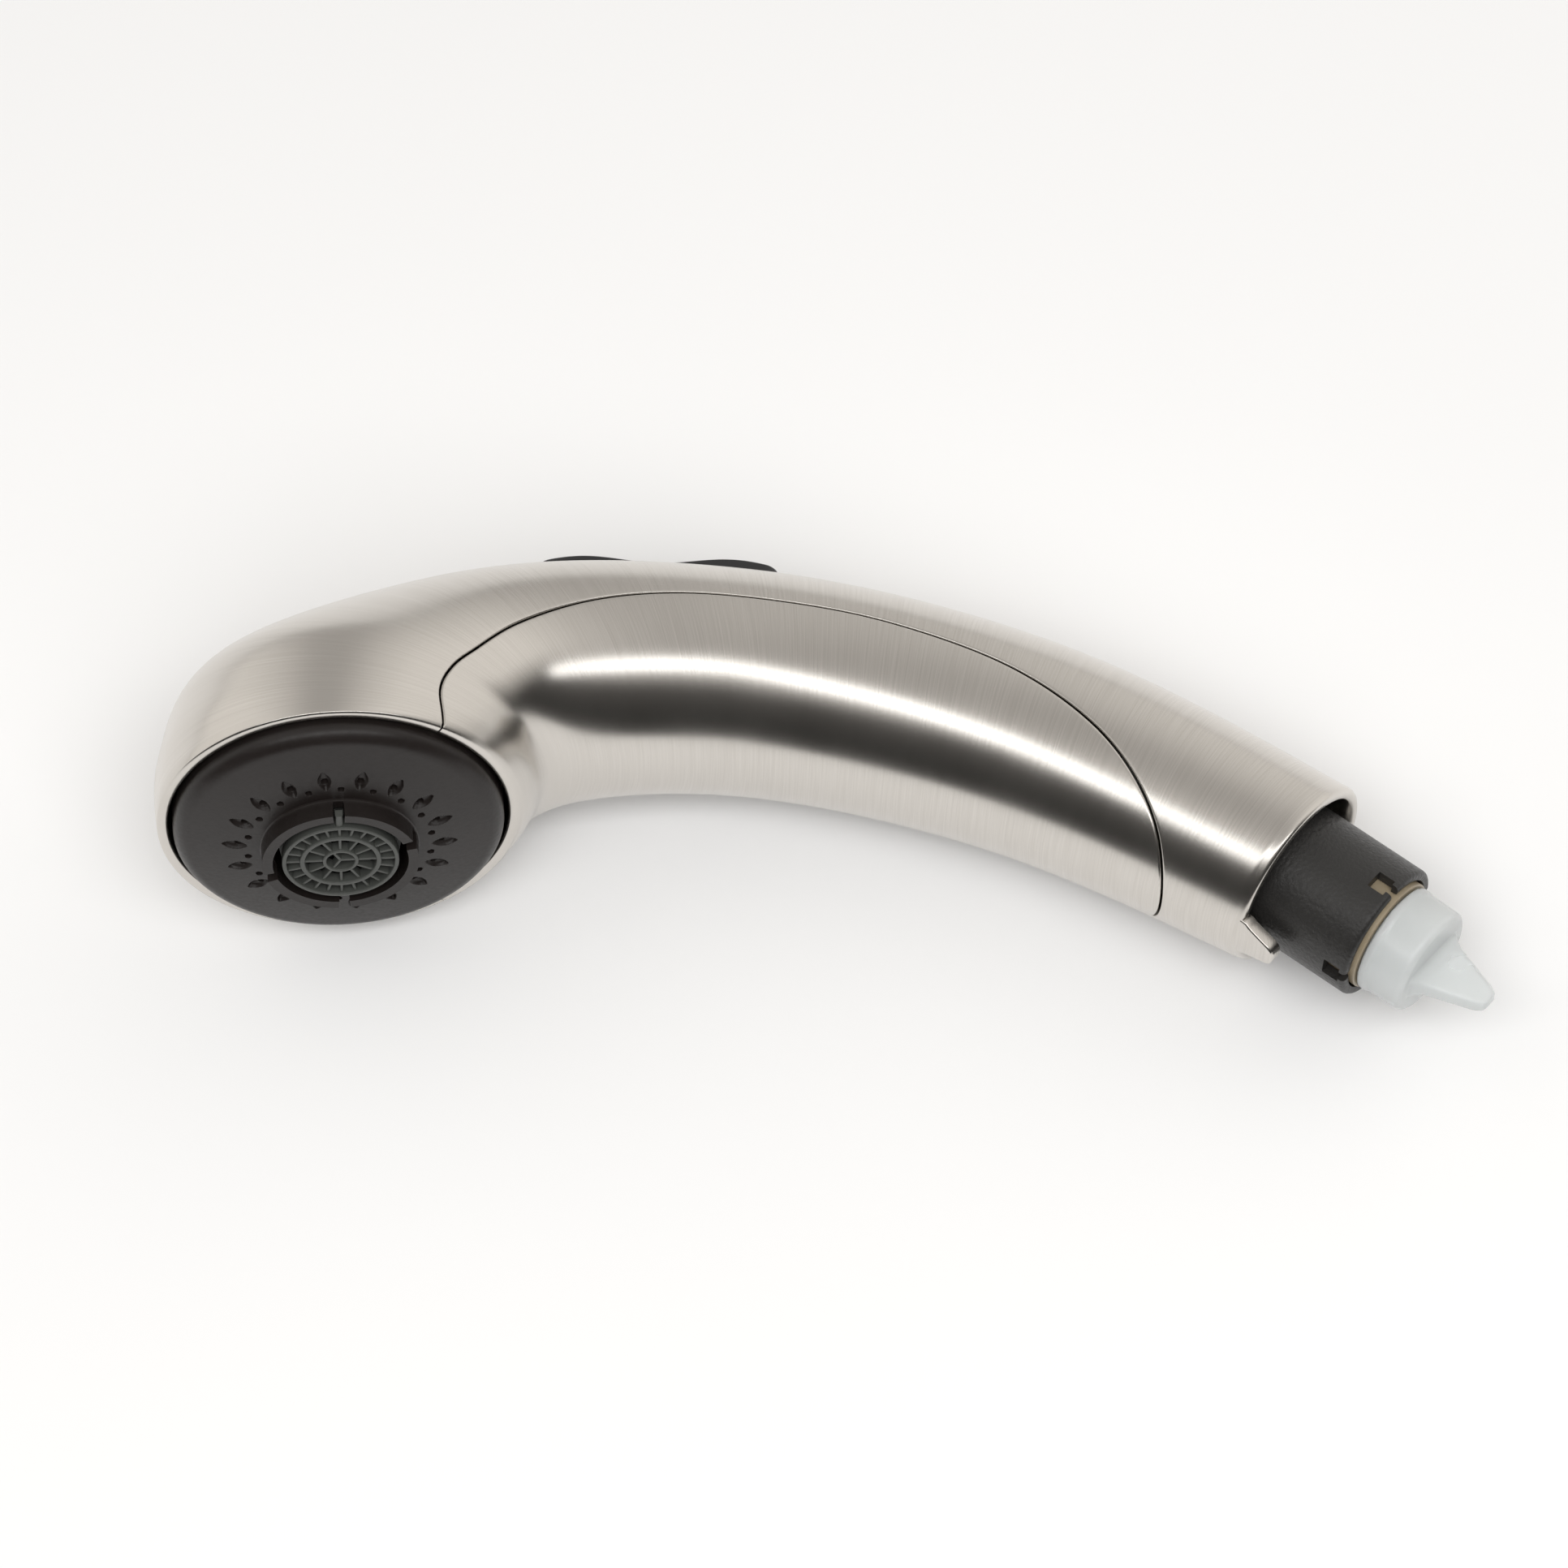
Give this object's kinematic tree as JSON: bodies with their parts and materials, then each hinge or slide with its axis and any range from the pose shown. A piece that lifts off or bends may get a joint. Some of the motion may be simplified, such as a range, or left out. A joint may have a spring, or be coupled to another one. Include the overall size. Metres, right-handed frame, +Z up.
{
  "type": "pull-out kitchen tap spray head",
  "caption": "Curved pull-out tap spray head with a grip panel, a round spray face with a central aerator, a rocker for the spray pattern and a capped hose inlet.",
  "frame": {"origin": "middle of the footprint of the spray head as it lies on its side, on the surface it rests on", "axes": "+X along the wand from the spray head to the hose inlet, +Y away from the way the water leaves, towards the rocker, +Z up"},
  "size_m": [0.2098, 0.098, 0.0596],
  "materials": {
    "satin_nickel": "brushed satin nickel plating",
    "black_plastic": "moulded, fine satin",
    "rocker_plastic": "soft satin",
    "sleeve_plastic": "fine moulded grain",
    "grey_plastic": "moulded",
    "clear_plastic": "milky, translucent",
    "tan_plastic": "moulded acetal",
    "white_plastic": "moulded",
    "black_rubber": "matt",
    "steel": "stainless"
  },
  "bodies": {
    "wand": {"main_shell": "satin_nickel", "grip_panel": "satin_nickel", "waterway_tube": "white_plastic", "stream_tube": "white_plastic", "spray_tube": "white_plastic", "spray_face": "black_plastic", "aerator_grid": "grey_plastic", "aerator_housing": "grey_plastic", "aerator_screen": "steel", "aerator_gasket": "black_rubber", "face_seal": "black_rubber", "head_chamber": "black_plastic", "chamber_screw_1": "steel", "chamber_screw_2": "steel", "chamber_screw_3": "steel", "diverter_body": "black_plastic", "rocker_pin": "steel", "rocker_bracket": "black_plastic", "detent_spring": "steel", "waterway_seal_front": "black_rubber", "waterway_seal_rear": "black_rubber", "inlet_sleeve": "sleeve_plastic", "retaining_ring": "steel", "inlet_socket": "tan_plastic", "strainer_screen": "steel", "inlet_washer": "black_rubber", "check_valve_housing": "white_plastic", "check_spring_1": "steel", "check_spring_2": "steel"},
    "rocker": {"rocker_button": "rocker_plastic"},
    "spool": {"diverter_spool": "white_plastic", "spool_seal_front": "black_rubber", "spool_seal_rear": "black_rubber"},
    "poppet_1": {"check_poppet_1": "white_plastic"},
    "poppet_2": {"check_poppet_2": "white_plastic"},
    "cap": {"transport_cap": "clear_plastic"}
  },
  "joints": [
    {"name": "rocker_hinge", "type": "hinge", "parent": "wand", "child": "rocker", "pos_m": [-0.0216, 0.03816, 0.01915], "axis": [0.1086, 0.1657, 0.9802], "range_deg": [-5, 5]},
    {"name": "spool_slide", "type": "slide", "parent": "wand", "child": "spool", "axis": [0.9889, -0.1183, -0.0895], "range_m": [-0.00078, 0.00078]},
    {"name": "check_poppet_1_slide", "type": "slide", "parent": "wand", "child": "poppet_1", "axis": [-0.7049, 0.7081, -0.0417], "range_m": [0, 0.0018], "stiffness_N_per_m": 150, "springref_m": -0.003, "deforming": ["check_spring_1"]},
    {"name": "check_poppet_2_slide", "type": "slide", "parent": "wand", "child": "poppet_2", "axis": [-0.7049, 0.7081, -0.0417], "range_m": [0, 0.0018], "stiffness_N_per_m": 150, "springref_m": -0.003, "deforming": ["check_spring_2"]},
    {"name": "cap_pull", "type": "slide", "parent": "wand", "child": "cap", "axis": [0.7049, -0.7081, 0.0417], "range_m": [0, 0.03]}
  ],
  "couplings": [
    {"joint": "rocker_hinge", "follows": "spool_slide", "rad_per_m": 111.11}
  ]
}
